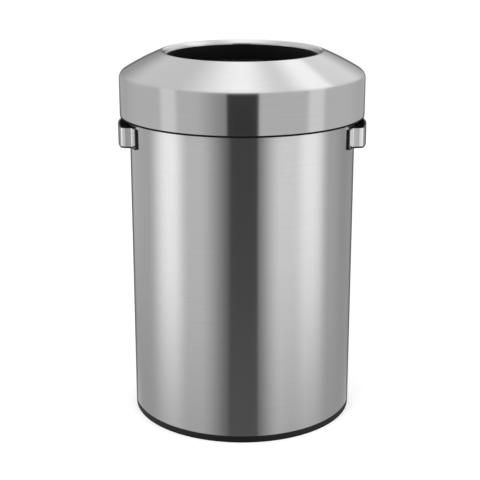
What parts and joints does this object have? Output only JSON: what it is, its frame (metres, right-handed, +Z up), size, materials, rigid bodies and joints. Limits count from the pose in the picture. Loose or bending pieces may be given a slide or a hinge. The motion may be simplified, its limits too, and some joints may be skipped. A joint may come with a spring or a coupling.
{
  "type": "dome top waste receptacle",
  "caption": "Round stainless steel waste receptacle with a lift-off domed lid with an open top, side handles, black base ring and a lift-out inner liner with a bag ring.",
  "frame": {"origin": "on the floor, at the centre of the base ring", "axes": "+Z up along the bin's axis, front towards -Y, handles at +X and -X"},
  "size_m": [0.4526, 0.445, 0.676],
  "materials": {
    "brushed_steel": "fine brushed",
    "polished_steel": "polished",
    "zinc_steel": "zinc plated",
    "black_plastic": "fine moulded texture",
    "black_rubber": "smooth matt",
    "liner_plastic": "moulded matt"
  },
  "bodies": {
    "bin": {"base_ring": "black_plastic", "bottom_plate": "zinc_steel", "base_screw_1": "zinc_steel", "base_screw_2": "zinc_steel", "base_screw_3": "zinc_steel", "base_screw_4": "zinc_steel", "body_shell": "brushed_steel", "handle_right": "polished_steel", "handle_lining_right": "black_rubber", "handle_backing_right": "zinc_steel", "handle_left": "polished_steel", "handle_lining_left": "black_rubber", "handle_backing_left": "zinc_steel", "handle_nut_right_front": "zinc_steel", "handle_nut_right_back": "zinc_steel", "handle_nut_left_front": "zinc_steel", "handle_nut_left_back": "zinc_steel"},
    "liner": {"liner": "liner_plastic", "bail_lug_back_1": "zinc_steel", "bail_lug_back_2": "zinc_steel", "bail_lug_front_1": "zinc_steel", "bail_lug_front_2": "zinc_steel"},
    "bail_back": {"liner_bail_back": "polished_steel"},
    "bail_front": {"liner_bail_front": "polished_steel"},
    "bag_ring": {"bag_ring": "polished_steel"},
    "lid": {"lid_shell": "brushed_steel", "lid_throat": "black_plastic", "lid_seat_ring": "black_plastic"}
  },
  "joints": [
    {"name": "liner_lift", "type": "slide", "parent": "bin", "child": "liner", "axis": [0, 0, 1], "range_m": [0, 0.62]},
    {"name": "bag_ring_lift", "type": "slide", "parent": "liner", "child": "bag_ring", "axis": [0, 0, 1], "range_m": [0, 0.06]},
    {"name": "lid_lift", "type": "slide", "parent": "bag_ring", "child": "lid", "axis": [0, 0, 1], "range_m": [0, 0.12]},
    {"name": "bail_back_swing", "type": "hinge", "parent": "liner", "child": "bail_back", "pos_m": [0, 0.17, 0.52], "axis": [-1, 0, 0], "range_deg": [0, 180]},
    {"name": "bail_front_swing", "type": "hinge", "parent": "liner", "child": "bail_front", "pos_m": [0, -0.17, 0.52], "axis": [1, 0, 0], "range_deg": [0, 180]}
  ]
}
